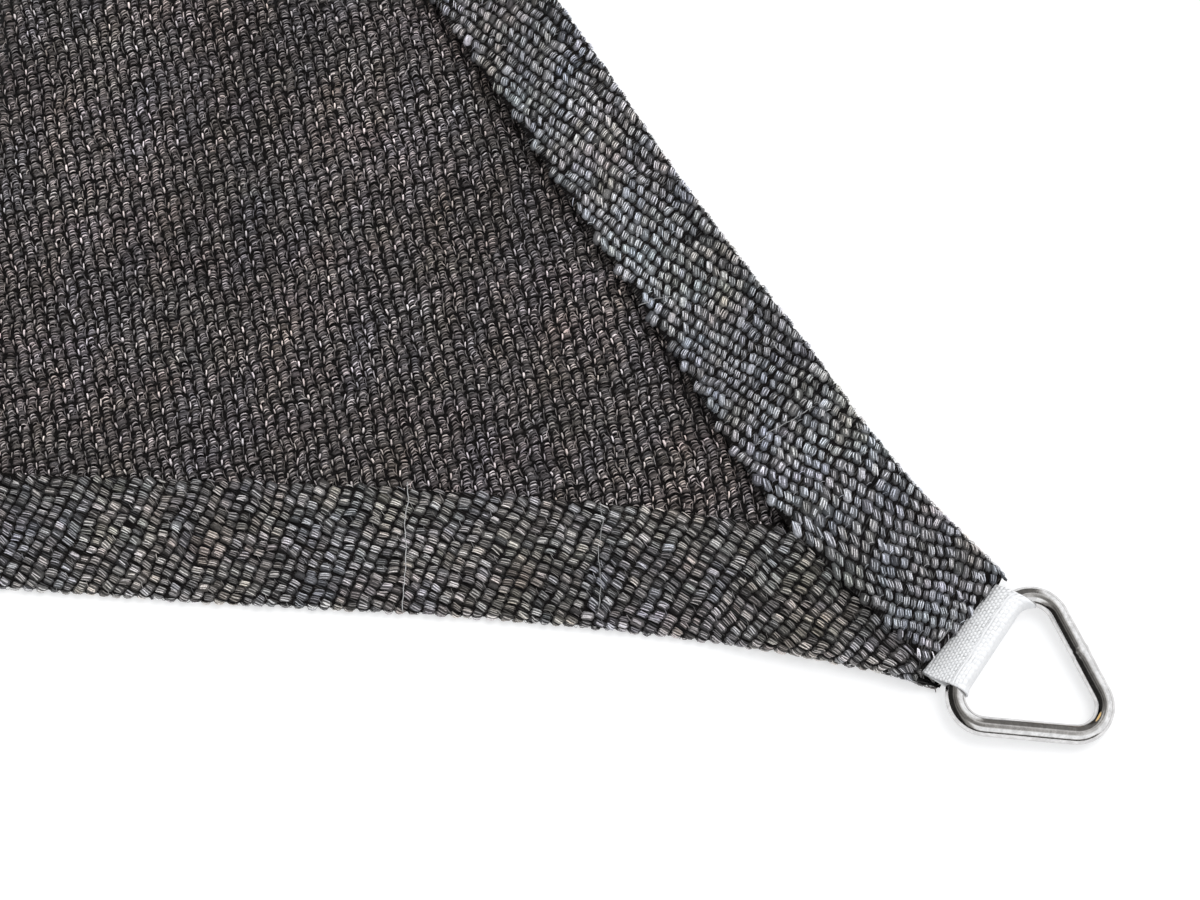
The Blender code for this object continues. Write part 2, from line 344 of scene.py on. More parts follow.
def weave_place(points):
    """Column and row of the knit at points of the flat cloth, as real numbers."""
    across, up = knit_ways()
    off = points - corner_middle("right")
    return np.stack((off @ across / WALE, off @ up / COURSE), -1)


def cloth_place(wale, course):
    """The point of the flat cloth at a column and row of the knit."""
    across, up = knit_ways()
    return corner_middle("right") + wale[..., None] * across * WALE + course[..., None] * up * COURSE


# ---- meshes from arrays
def grid_quads(numbers, wrapped=False):
    """Quads between the rows and columns of a grid of point numbers."""
    if wrapped:
        numbers = np.concatenate((numbers, numbers[:, :1]), 1)
    corners = (numbers[:-1, :-1], numbers[:-1, 1:], numbers[1:, 1:], numbers[1:, :-1])
    return np.stack(corners, -1).reshape(-1, 4)


def mesh_of(name, points, *faces, shift=0.0):
    """A smooth mesh of arrays of faces; each array has one number of corners."""
    faces = [np.asarray(rows, np.int32) for rows in faces]
    corners = np.concatenate([rows.ravel() for rows in faces])
    totals = np.concatenate([np.full(len(rows), rows.shape[1], np.int32) for rows in faces])
    starts = np.concatenate(([0], np.cumsum(totals)[:-1])).astype(np.int32)
    mesh = bpy.data.meshes.new(name)
    mesh.vertices.add(len(points))
    mesh.vertices.foreach_set("co", (points + shift).astype(np.float32).ravel())
    mesh.loops.add(len(corners))
    mesh.loops.foreach_set("vertex_index", corners)
    mesh.polygons.add(len(totals))
    mesh.polygons.foreach_set("loop_start", starts)
    mesh.polygons.foreach_set("use_smooth", np.full(len(totals), True))
    mesh.update(calc_edges=True)
    mesh.validate()
    return mesh


def paint(mesh, name, colours):
    """Colours of a mesh's points, as an attribute for its material."""
    each = np.ones((len(mesh.vertices), 4))
    each[:, :3] = colours
    layer = mesh.color_attributes.new(name, "FLOAT_COLOR", "POINT")
    layer.data.foreach_set("color", each.astype(np.float32).ravel())


def new_piece(name, data, *materials):
    piece = bpy.data.objects.new(name, data)
    for made in materials:
        data.materials.append(made)
    bpy.context.scene.collection.objects.link(piece)
    return piece


# ---- node helper
class Nodes:
    """Short calls for building the nodes of a material or of the world."""

    def __init__(self, owner):
        owner.use_nodes = True
        self.owner = owner
        self.tree = owner.node_tree

    def feed(self, socket, value):
        if isinstance(value, bpy.types.NodeSocket):
            self.tree.links.new(value, socket)
        else:
            socket.default_value = value

    def node(self, kind, inputs=(), **settings):
        made = self.tree.nodes.new(kind)
        for key, value in settings.items():
            setattr(made, key, value)
        for key, value in dict(inputs).items():
            self.feed(made.inputs[key], value)
        return made

    def math(self, operation, *values):
        return self.node("ShaderNodeMath", dict(enumerate(values)), operation=operation).outputs[0]

    def times(self, first, second, more=0.0):
        return self.math("MULTIPLY_ADD", first, second, more)

    def place(self):
        return self.node("ShaderNodeTexCoord").outputs["Object"]

    def ramp(self, value, *stops):
        made = self.node("ShaderNodeValToRGB", {0: value})
        made.color_ramp.interpolation = "EASE"
        for element, (place, colour) in zip(made.color_ramp.elements, stops):
            element.position = place
            element.color = (*colour, 1)
        return made.outputs[0]

    def mix(self, share, first, second, blend="MIX"):
        made = self.node("ShaderNodeMix", data_type="RGBA", blend_type=blend)
        for number, value in ((0, share), (6, first), (7, second)):
            self.feed(made.inputs[number], value)
        return made.outputs[2]

    def noise(self, scale, vector, detail=2.0, rough=0.5):
        inputs = {"Scale": scale, "Detail": detail, "Roughness": rough, "Vector": vector}
        return self.node("ShaderNodeTexNoise", inputs).outputs["Fac"]

    def bump(self, height, distance, strength=1.0):
        inputs = {"Height": height, "Distance": distance, "Strength": strength}
        return self.node("ShaderNodeBump", inputs).outputs[0]

    def surface(self, **values):
        """Set the shader's sockets, with _ for a space, and return the material."""
        for key, value in values.items():
            self.feed(self.tree.nodes["Principled BSDF"].inputs[key.replace("_", " ")], value)
        return self.owner


def new_material(name):
    return Nodes(bpy.data.materials.new(name))


# ---- charts of the stitches
# Each unit is two columns wide and one row high. Wales and courses run from its lower
# left; bow and lift are millimetres, sideways and up; tone runs from dark to bright.
# Strands of one block lean, slide and change their shade together. The flat cloth shows
# the knit's face, and the turned-over hems its back.
FACE_CHART = (
    # block, wale, course, to wale, to course, bow, lift, width, tone
    (0, 0.06, 0.02, 0.10, 0.42, -0.06, 0.50, 0.46, 1.00),
    (0, 0.20, 0.42, 0.78, 0.50, 0.14, 0.42, 0.38, 0.80),
    (1, 0.18, 0.66, 0.80, 0.70, 0.20, 0.30, 0.34, 0.68),
    (1, 0.20, 0.86, 0.78, 0.90, 0.20, 0.32, 0.34, 0.72),
    (2, 0.24, 0.12, 0.82, 0.16, 0.20, 0.32, 0.34, 0.70),
    (2, 0.26, 0.29, 0.80, 0.33, 0.18, 0.24, 0.30, 0.62),
    (3, 0.10, 0.12, 0.98, 0.16, -0.05, 0.02, 1.30, 0.30),
    (3, 0.08, 0.58, 0.96, 0.62, -0.05, 0.02, 1.30, 0.30),
    (4, 1.20, 0.04, 1.78, 0.10, 0.20, 0.32, 0.34, 0.68),
    (4, 1.18, 0.24, 1.82, 0.29, 0.22, 0.30, 0.34, 0.66),
    (4, 1.22, 0.44, 1.76, 0.47, 0.20, 0.24, 0.30, 0.58),
    (5, 1.20, 0.64, 1.82, 0.70, 0.14, 0.36, 0.34, 0.74),
    (5, 1.18, 0.83, 1.78, 0.90, 0.14, 0.38, 0.36, 0.78),
    (5, 1.02, 0.50, 1.08, 0.92, -0.06, 0.38, 0.34, 0.72),
    (6, 1.08, 0.18, 1.96, 0.22, -0.05, 0.02, 1.30, 0.30),
    (6, 1.08, 0.70, 1.96, 0.74, -0.05, 0.02, 1.30, 0.30),
    (7, 0.90, 0.02, 0.92, 0.60, 0.16, 0.20, 0.26, 0.48),
    (7, 1.92, 0.30, 1.94, 0.88, 0.16, 0.20, 0.26, 0.48),
    (8, 0.55, 0.20, 1.00, 0.62, 0.25, 0.46, 0.15, 0.66),
    (9, 1.95, 0.10, 1.50, 0.56, 0.25, 0.46, 0.15, 0.62),
)
BACK_CHART = (
    # block, wale, course, to wale, to course, bow, lift, width, tone
    (0, -0.04, 0.26, 1.02, 0.26, 0.02, 0.06, 1.85, 0.38),
    (0, 0.06, 0.13, 0.91, 0.13, 0.03, 0.42, 0.34, 0.82),
    (0, 0.08, 0.26, 0.94, 0.26, 0.03, 0.48, 0.34, 0.96),
    (0, 0.05, 0.39, 0.89, 0.39, 0.03, 0.40, 0.32, 0.80),
    (1, 0.00, 0.76, 1.02, 0.76, 0.02, -0.04, 1.95, 0.28),
    (1, 0.12, 0.64, 0.90, 0.64, 0.03, 0.22, 0.26, 0.72),
    (1, 0.10, 0.76, 0.88, 0.76, 0.03, 0.28, 0.28, 0.84),
    (1, 0.14, 0.88, 0.92, 0.88, 0.03, 0.20, 0.24, 0.68),
    (2, 0.96, 0.76, 2.02, 0.76, 0.02, 0.06, 1.85, 0.36),
    (2, 1.06, 0.63, 1.91, 0.63, 0.03, 0.42, 0.32, 0.82),
    (2, 1.08, 0.76, 1.94, 0.76, 0.03, 0.48, 0.34, 0.98),
    (2, 1.05, 0.89, 1.89, 0.89, 0.03, 0.40, 0.32, 0.80),
    (3, 1.00, 0.26, 2.02, 0.26, 0.02, -0.04, 1.95, 0.28),
    (3, 1.12, 0.14, 1.90, 0.14, 0.03, 0.22, 0.26, 0.72),
    (3, 1.10, 0.26, 1.88, 0.26, 0.03, 0.28, 0.28, 0.84),
    (3, 1.14, 0.38, 1.92, 0.38, 0.03, 0.20, 0.24, 0.68),
    (4, 0.55, 0.45, 1.15, 0.75, 0.20, 0.40, 0.15, 0.56),
)
FACE_PLACES = (0.0, 0.22, 0.5, 0.78, 1.0)  # of the points along a strand
BACK_PLACES = (0.0, 0.18, 0.5, 0.82, 1.0)
STRAND_POINTS = 5                   # along a strand
STRAND_MIDDLE = 2                   # number of its middle point
STRAND_SIDES = 3                    # round it
STRAND_TURNS = np.radians((90, 210, 330))
WIDEST = 0.87                       # share of its half width that its corners reach
SUNK = -0.60                        # millimetres; how deep a strand's ends lie
TALLEST = 0.24                      # millimetres; most that a wide strand stands up
STRAND_SWAY = 0.55 * MM
MOST_TRIANGLES = 190_000            # in one piece of strands
LEAN_SPREAD = 0.14                  # how much the blocks of strands differ
SLIDE_SPREAD = 0.060
BLOCK_TONE_SPREAD = 0.20
END_SPREAD = 0.03                   # how much the strands of a block differ
BOW_SPREAD = 0.07
WIDTH_SPREAD = 0.17
DARKEST = 0.010                     # reflectance of a strand of tone 0
TONE_LIGHT = 0.62                   # how much lighter one of tone 1 is
MOST_TONE = 1.15
PANEL_HUE = np.array((1.12, 1.00, 0.99))
SHADOW_HUE = np.array((1.16, 1.00, 0.95))
HEM_KNITS = (
    # name, side, lean, hue, brightness, length of its thin strands
    ("front_hem", 0, 0.03, np.array((1.05, 1.00, 0.985)), 1.01, 1.0),
    ("right_hem", 1, -0.34, np.array((1.00, 1.00, 1.04)), 1.32, 0.82),
)
HEM_LAP = 3 * MM                    # width of the strands kept under a hem's free edge
SIDE_ROOM = 0.6 * MM                # from the cloth's outline to the panel's strands
END_ROOM = 0.3 * MM                 # from its cut-off corner to them
FOOT_ROOM = 0.9 * MM                # from the hems' foot to their strands
SLOPE_START = 0.3 * MM              # how far past the hems' slanted end their slope starts


def drift(points, seed, *lengths):
    """A smooth random field over the plan, from -1 to 1, of some wave lengths."""
    random = np.random.default_rng(seed)
    field = np.zeros(len(points))
    for length in lengths:
        for _ in range(3):
            way, phase = random.random(2) * 2 * math.pi
            reach = length * random.uniform(0.8, 1.25)
            field += np.sin(points @ heading(way) * 2 * math.pi / reach + phase)
    return field / (1.8 * math.sqrt(len(lengths)))


def strand_lines(chart, places, random, lean, wild):
    """Strands of one chart near the corner: lines on the flat cloth, widths, tones, tints.

    A line has columns wale, course and rise over the cloth's face, in metres. Strands
    lean on average by `lean`, and stray more where `wild` is more.
    """
    columns, rows = units_near()
    t = np.array(places)
    swing = 4 * t * (1 - t)
    arch = 1 - np.abs(2 * t - 1) ** 4.0
    count = len(columns)
    blocks = max(row[0] for row in chart) + 1
    slopes = lean + random.normal(0, LEAN_SPREAD * wild, (blocks, count))
    slides = random.normal(0, SLIDE_SPREAD * wild, (blocks, count, 2))
    shades = np.exp(random.normal(0, BLOCK_TONE_SPREAD * wild, (blocks, count)))
    tints = random.normal(0, 1, (blocks, count, 2))
    strands = []
    for block, wale, course, to_wale, to_course, bow, lift, width, tone in chart:
        start = np.stack((columns * 2 + wale, rows + course), -1)
        end = np.stack((columns * 2 + to_wale, rows + to_course), -1)
        tilt = slopes[block] * (to_wale - wale) * WALE / COURSE / 2
        start[:, 1] -= tilt
        end[:, 1] += tilt
        start = start + slides[block] + random.normal(0, END_SPREAD, start.shape)
        end = end + slides[block] + random.normal(0, END_SPREAD, end.shape)
        along = start[:, None] + (end - start)[:, None] * t[None, :, None]
        sideways = np.array((-(to_course - course) * COURSE, (to_wale - wale) * WALE))
        sideways = sideways / np.linalg.norm(sideways)
        bows = bow + random.normal(0, BOW_SPREAD, count)
        shift = bows[:, None, None] * MM * swing[None, :, None] * sideways
        along[..., 0] += shift[..., 0] / WALE
        along[..., 1] += shift[..., 1] / COURSE
        peak = lift + random.normal(0, 0.05 + 0.05 * min(width, 1.5), count)
        rise = (SUNK + (peak - SUNK)[:, None] * arch[None]) * MM
        widths = width * MM * np.exp(random.normal(0, WIDTH_SPREAD, count))
        tone_spread = 0.18 if width < 1 else 0.10
        tones = tone * shades[block] * np.exp(random.normal(0, tone_spread, count))
        hues = tints[block] * 0.8 + random.normal(0, 0.5, (count, 2))
        strands.append((np.concatenate((along, rise[..., None]), -1), widths, tones, hues))
    return [np.concatenate(values) for values in zip(*strands)]


def strand_tubes(lines, widths):
    """Closed tubes round strands, as points (strand, place, side, 3) over the flat cloth."""
    flat = np.concatenate((cloth_place(lines[..., 0], lines[..., 1]), lines[..., 2:]), -1)
    spot = flat[..., :2].reshape(-1, 2)
    for axis in (0, 1):
        sway = drift(spot, 30 + axis, 0.012, 0.030) * STRAND_SWAY
        flat[..., axis] += sway.reshape(flat.shape[:2])
    along = np.gradient(flat, axis=1)
    across = unit(np.cross(along, UP))
    taper = np.array([0.5] + [1.0] * (STRAND_POINTS - 2) + [0.5])
    half = widths[:, None] / 2 * taper[None]
    tall = np.sqrt(half * np.minimum(half, TALLEST * MM)) * np.minimum(1, TALLEST * MM / half)
    sideways = across[:, :, None] * (half[..., None] * np.cos(STRAND_TURNS) / WIDEST)[..., None]
    upward = UP * (tall[..., None] * np.sin(STRAND_TURNS))[..., None]
    return flat[:, :, None] + sideways + upward


def strand_faces(count):
    """Quads and end caps of `count` tubes, as rows of four and of STRAND_SIDES points."""
    size = STRAND_POINTS * STRAND_SIDES
    numbers = np.arange(size).reshape(STRAND_POINTS, STRAND_SIDES)
    quads, caps = grid_quads(numbers, True), np.stack((numbers[0, ::-1], numbers[-1]))
    starts = np.arange(count)[:, None, None] * size
    return (starts + quads).reshape(-1, 4), (starts + caps).reshape(-1, STRAND_SIDES)


def strand_mesh(name, points, colours):
    """One mesh of many tubes; colours are per strand and place along it."""
    mesh = mesh_of(name, points.reshape(-1, 3), *strand_faces(len(points)), shift=SHIFT)
    paint(mesh, "strand", np.repeat(colours.reshape(-1, 3), STRAND_SIDES, axis=0))
    return mesh


# ---- strands on the cloth
def units_near():
    """Columns and rows of every chart unit that may touch the near rectangle."""
    x, y = np.meshgrid(NEAR_X, NEAR_Y)
    places = weave_place(corner_middle("right") + np.stack((x.ravel(), y.ravel()), -1))
    low = np.floor(places.min(0)).astype(int) - 12
    high = np.ceil(places.max(0)).astype(int) + 12
    columns, rows = np.arange(low[0] // 2, high[0] // 2 + 1), np.arange(low[1], high[1] + 1)
    return [numbers.ravel() for numbers in np.meshgrid(columns, rows)]


def nearness(points, random):
    """Which points lie in the near rectangle, thinned out at random at its border."""
    x, y = (points - corner_middle("right")).T
    room = np.minimum.reduce((x - NEAR_X[0], NEAR_X[1] - x, y - NEAR_Y[0], NEAR_Y[1] - y))
    return room > NEAR_FADE * random.random(len(points))


def side_of(points, side):
    return turned(points, math.radians(-120 * side))


def along_side(x, more):
    """Whether places lie along a side's chord, or up to `more` past its ends."""
    return (x > -more) & (x < CHORD + more)


def hidden_by_hem(points, side):
    """Whether plan points lie under a side's flap, further in than its lap."""
    front = side_of(points, side)
    x, inside = on_side(front)
    return (inside < hem_width(x) - HEM_LAP) & along_side(x, 0.02) & (past_end(front) < 0)


def chosen(keep, *arrays):
    return [values[keep] for values in arrays]


def hem_edge_shadow(points):
    """How near plan points lie to the raised free edge of the right hem, 1 to 0: the reach of the
    painted shadow that this edge casts on the flat cloth.
    """
    x, inside = on_side(side_of(points, 1))
    away = inside - hem_width(x)
    return read_rows(((0.0, 1.0), (5.5 * MM, 0.0)), away) * read_rows(((0.03, 0.3), (0.07, 1.0)), x)


def strand_colours(tones, tints, hue, points, end_shade, colourful):
    """Reflectance along each strand; painted shade darkens its ends, where they dip under
    neighbours, and its hue wanders.
    """
    shade = DARKEST + TONE_LIGHT * np.clip(tones, 0.0, MOST_TONE) ** 2.0
    warm = colourful * (0.040 * drift(points, 41, 0.016, 0.045) + 0.018 * tints[:, 0])
    green = colourful * (0.016 * drift(points, 42, 0.014, 0.050) + 0.008 * tints[:, 1])
    shade = shade * np.exp(0.20 * drift(points, 43, 0.010, 0.060))
    spread = np.stack((warm - green, green, -1.6 * warm - green * 0.5), -1)
    colour = shade[:, None] * hue * np.exp(spread)
    # painted shade: each strand darker at its two ends, where they dip under their neighbours
    ends = np.array([1.0] + [0.0] * (STRAND_POINTS - 2) + [1.0])
    return colour[:, None] * (1 - end_shade * ends)[None, :, None]


def panel_strands(random):
    """Strands of the flat cloth, with painted shadow, redder and darker, by the right hem and at the
    tip.
    """
    lines, widths, tones, tints = strand_lines(FACE_CHART, FACE_PLACES, random, lean=0.05, wild=0.6)
    middle = cloth_place(lines[:, STRAND_MIDDLE, 0], lines[:, STRAND_MIDDLE, 1])
    keep = nearness(middle, random) & (corner_depth(middle, "right") > END_ROOM)
    for side in (0, 1):
        keep &= ~hidden_by_hem(middle, side) & (on_side(side_of(middle, side))[1] > SIDE_ROOM)
    lines, widths, tones, tints, middle = chosen(keep, lines, widths, tones, tints, middle)
    points = strand_tubes(lines, widths)
    points[..., 2] += CLOTH + panel_lift(points[..., :2])
    # painted shadow: strands darker and redder beside the right hem's raised edge and at the tip
    tip = read_rows(((0.006, 1.0), (0.014, 0.0)), corner_depth(middle, "right"))
    shadow = np.maximum(hem_edge_shadow(middle), tip)
    hue = PANEL_HUE * (1 - shadow[:, None]) + SHADOW_HUE * shadow[:, None]
    tones = tones * (1.05 - 0.28 * shadow)
    return points, strand_colours(tones, tints, hue, middle, end_shade=0.55, colourful=0.6)


def hem_strands(side, lean, hue, bright, short, random):
    """Strands on a hem's flap and round its fold, from the cloth's other face.

    `short` is the length of its thin strands as a share of their length on the chart.
    """
    lines, widths, tones, tints = strand_lines(BACK_CHART, BACK_PLACES, random, lean, wild=0.75)
    middle = lines[:, STRAND_MIDDLE]
    share = np.where(widths > 1 * MM, 1.0, short)[:, None]
    lines[..., 0] = middle[:, None, 0] + (lines[..., 0] - middle[:, None, 0]) * share
    x, inside = on_side(side_of(cloth_place(middle[:, 0], middle[:, 1]), side))
    run = FOLD - inside
    arc = fold_length(fold_height(x))
    keep = (run > -1 * MM) & (run < arc + hem_width(x) - FOLD) & along_side(x, 0.03)
    lines, widths, tones, tints = chosen(keep, lines, widths, tones, tints)
    x, run, arc = chosen(keep, x, run, arc)
    laid = hem_place(x, run, np.zeros_like(x))[:, :2]
    plan = side_of(laid, -side)
    across = np.abs((plan - corner_middle("right")) @ corner_ways("right")[1])
    on_slope = (across > WEBBING_WIDTH / 2 + GAP) & (past_end(laid, 0.0) < -FOOT_ROOM)
    keep = nearness(plan, random) & ((past_end(laid) < 0.1 * MM) | on_slope)
    if side == 0:
        keep &= ~hidden_by_hem(plan, 1)
    # painted shade: strands darker in the crease's trough beside the fold
    tones = tones * (1 - 0.35 * in_crease(x, run - arc + FOLD))
    lines, widths, tones, tints, plan = chosen(keep, lines, widths, tones, tints, plan)
    flat = strand_tubes(lines, widths)
    x, inside = on_side(side_of(flat[..., :2], side))
    points = hem_place(x, FOLD - inside, flat[..., 2])
    lay_on_slope(points, flat[..., 2])
    points[..., :2] = side_of(points[..., :2], -side)
    return points, strand_colours(tones * bright, tints, hue, plan, end_shade=0.40, colourful=0.8)


def lay_on_slope(points, rise):
    """Lower front-frame points past a hem's end onto the slope from there to its foot."""
    to_foot, past = -past_end(points[..., :2], 0.0), past_end(points[..., :2])
    slope = CLOTH * (1 + np.clip(to_foot / (to_foot + past), 0, 1)) + rise * 0.6
    lower = (past > SLOPE_START) & (to_foot > 0) & (points[..., 2] > slope)
    points[..., 2] = np.where(lower, slope, points[..., 2])


def strand_pieces(material):
    pieces = []
    random = np.random.default_rng(SEED)
    parts = [("panel", panel_strands(random))]
    parts += [(name, hem_strands(*knit, random)) for name, *knit in HEM_KNITS]
    quads, caps = strand_faces(1)
    most = MOST_TRIANGLES // (len(quads) * 2 + len(caps))
    for part, (points, colours) in parts:
        points[..., 2] = np.maximum(points[..., 2], 0.02 * MM)
        order = np.argsort(points[:, STRAND_MIDDLE, 0, 0], kind="stable")
        for number, some in enumerate(np.array_split(order, math.ceil(len(order) / most))):
            name = f"stitches_{part}_{number}"
            mesh = strand_mesh(name, points[some], colours[some])
            pieces.append(new_piece(name, mesh, material))
    return pieces


def strand_material():
    nodes = new_material("knit_strands")
    # the strands' own colours together with their painted shade
    colour = nodes.node("ShaderNodeAttribute", attribute_name="strand").outputs["Color"]
    grain = nodes.noise(2600.0, nodes.place(), 3.0, 0.6)
    shade = nodes.ramp(grain, (0.3, (0.70,) * 3), (0.7, (1.30,) * 3))
    return nodes.surface(
        Base_Color=nodes.mix(1.0, colour, shade, "MULTIPLY"),
        Roughness=nodes.times(grain, 0.2, 0.34),
        Specular_IOR_Level=0.18,
        Normal=nodes.bump(grain, 0.05 * MM, 0.5),
    )


# ---- loose threads
THREAD_SIDES = 6
THREAD_STEP = 0.35 * MM
THREAD_SWAY = 0.09                  # millimetres, as the next two
THREAD_RISE = 0.36                  # of its middle over the hem's face
THREAD_RIPPLE = 0.20
THREADS = (
    # name, side of the hem it lies on, half thickness, reflectance, points from the
    # corner's middle; in millimetres
    ("front_a", 0, 0.13, 0.52, ((-147.5, 38.0), (-146.9, 32.6), (-147.7, 27.0), (-146.9, 20.2),
                                (-146.8, 13.4), (-147.1, 5.3), (-147.0, 2.5))),
    ("front_b", 0, 0.10, 0.40, ((-96.6, 33.5), (-95.6, 28.1), (-96.8, 19.9), (-95.8, 11.7),
                                (-96.2, 3.5))),
    ("right_a", 1, 0.10, 0.42, ((-87.4, 88.4), (-82.8, 91.1), (-78.3, 92.1))),
    ("right_b", 1, 0.10, 0.42, ((-55.6, 49.5), (-51.8, 53.6), (-45.7, 57.2), (-40.1, 61.0))),
    ("right_c", 1, 0.10, 0.50, ((-51.2, 80.7), (-50.1, 78.3), (-48.5, 76.6))),
    ("loose", 1, 0.12, 0.30, ((-3.9, 6.9), (-4.9, 3.7), (-6.2, -0.4), (-9.6, -4.8))),
)


def path_lengths(points):
    """Distance along a line to each of its points."""
    return np.concatenate(([0], np.cumsum(np.linalg.norm(np.diff(points, axis=0), axis=1))))


def on_path(at, far, points):
    """Points at some distances along a line."""
    return np.stack([np.interp(at, far, points[:, k]) for k in (0, 1)], -1)


def thread_line(side, spots):
    """A thin wavy line along plan points, in the knit of a hem; also its distances."""
    spots = np.array(spots) * MM + corner_middle("right")
    far = path_lengths(spots)
    at = np.linspace(0, far[-1], math.ceil(far[-1] / THREAD_STEP) + 1)
    plan = on_path(at, far, spots)
    soft = np.array((1, 2, 3, 2, 1)) / 9
    for k in (0, 1):
        plan[2:-2, k] = np.convolve(plan[:, k], soft, "valid")
    sway = np.sin(at / (0.7 * MM) + 0.8 * np.sin(at / (2.3 * MM))) * THREAD_SWAY * MM
    plan += left_of(unit(np.gradient(plan, axis=0))) * sway[:, None]
    x, inside = on_side(side_of(plan, side))
    ripple = np.sin(at / (1.1 * MM) + np.sin(at / (3.7 * MM)))
    rise = (THREAD_RISE + THREAD_RIPPLE * ripple) * MM
    line = hem_place(x, inside - FOLD + fold_length(fold_height(x)), rise)
    line[:, :2] = side_of(line[:, :2], -side)
    return line, at


def thread_tube(side, half, spots):
    """The points, quads and ends of a thread, thinner at its ends."""
    line, at = thread_line(side, spots)
    way = np.gradient(line, axis=0)
    across = unit(np.cross(way, UP))
    over = unit(np.cross(across, way))
    turn = np.arange(THREAD_SIDES) * 2 * math.pi / THREAD_SIDES
    thick = half * MM * np.minimum(1, 0.35 + np.minimum(at, at[-1] - at) / (1.2 * MM))
    cosine, sine = np.cos(turn)[None, :, None], np.sin(turn)[None, :, None]
    ring = across[:, None] * cosine + over[:, None] * sine
    numbers = np.arange(len(at) * THREAD_SIDES).reshape(-1, THREAD_SIDES)
    quads = grid_quads(numbers, True)[:, (1, 0, 3, 2)]
    points = (line[:, None] + ring * thick[:, None, None]).reshape(-1, 3)
    return points, quads, np.stack((numbers[0], numbers[-1, ::-1]))


def thread_material(name, light):
    nodes = new_material(name)
    twist = nodes.noise(1500.0, nodes.place(), 2.0, 0.6)
    return nodes.surface(
        Base_Color=nodes.ramp(twist, (0.3, (light * 0.55,) * 3), (0.7, (light * 1.15,) * 3)),
        Roughness=0.5,
        Specular_IOR_Level=0.3,
    )


def thread_pieces():
    pieces = []
    for name, side, half, light, spots in THREADS:
        name = f"thread_{name}"
        mesh = mesh_of(name, *thread_tube(side, half, spots), shift=SHIFT)
        pieces.append(new_piece(name, mesh, thread_material(name, light)))
    return pieces


# ---- the sheet
STATIONS_PER_HALF = 64              # sections along half a side
STATION_SPREAD = 0.15               # they stand closer within this distance of a corner
FOLD_STEPS = 8
FLAP_STEPS = 9
PANEL_RINGS = (                     # rings of points on the panel, as shares of its outline
    0.997, 0.99, 0.98, 0.965, 0.95, 0.93, 0.91, 0.89, 0.86, 0.83, 0.79, 0.74, 0.67, 0.58, 0.47,
    0.34, 0.20, 0.08,
)
SHEET_KNITS = {
    # shift of every second column, strands a course, roundness, colour of the painted shade in the
    # gaps, and of the strands' crowns in painted light
    "knit_face": (0.5, 4.0, 0.8, (0.018, 0.018, 0.018), (0.51, 0.465, 0.46)),
    "knit_back": (0.36, 7.0, 0.5, (0.020, 0.020, 0.020), (0.56, 0.545, 0.53)),
}
# painted shade: the nearly black colour of the sheet under the strands, seen in their gaps
SHADE_UNDER_STRANDS = (0.007, 0.006, 0.006, 1)


def stations():
    """Places of the sheet's sections along a side, closer together near the corners."""
    rate = math.asinh(CHORD / 2 / STATION_SPREAD) / STATIONS_PER_HALF
    near = STATION_SPREAD * np.sinh(rate * np.arange(STATIONS_PER_HALF + 1))
    return np.concatenate((near, CHORD - near[-2::-1]))


def hem_section(x):
    """One section of the sheet round a fold and out along the flap and back.

    Returns inside distances, heights and the run of the outer face for each point,
    from the panel's underside to its upper face.
    """
    upright = float(fold_height(np.array([x]))[0])
    arc = float(fold_length(upright))
    turn = np.linspace(0, math.pi, FOLD_STEPS + 1)
    shares = np.linspace(0, 1, FLAP_STEPS + 1)[1:]
    flap = FOLD + (float(hem_width(x)) - FOLD) * shares
    many = np.full_like(flap, x)
    under = flap_height(edge_point(many, flap), many, shares) + crease(many, flap)
    inside = (FOLD - (FOLD - SKIN) * np.sin(turn), flap, flap[::-1], (CLOTH, CLOTH, FOLD))
    height = (
        upright / 2 - (upright / 2 - SKIN) * np.cos(turn),
        under + CLOTH - SKIN,
        under[::-1],
        (upright - CLOTH, CLOTH - SKIN / 2, CLOTH - SKIN),
    )
    run = (turn / math.pi * arc, arc + flap - FOLD, arc + flap[::-1] - FOLD, (arc, 0.0, 0.0))
    return [np.concatenate(parts) for parts in (inside, height, run)]


def slid_to_end(points, height, x, corner):
    """Section points moved along the side to its end; the panel is cut off unslanted."""
    _, along, _ = edge_frame(np.array([x]))
    moved = []
    for point, level in zip(points, height):
        rise = min(max((level - CLOTH) / CLOTH, 0.0), 1.0)
        tip, normal = end_plane(corner, FLAP_SETBACK * rise)
        moved.append(point + along[0] * (((tip - point) @ normal) / (along[0] @ normal)))
    return np.array(moved)


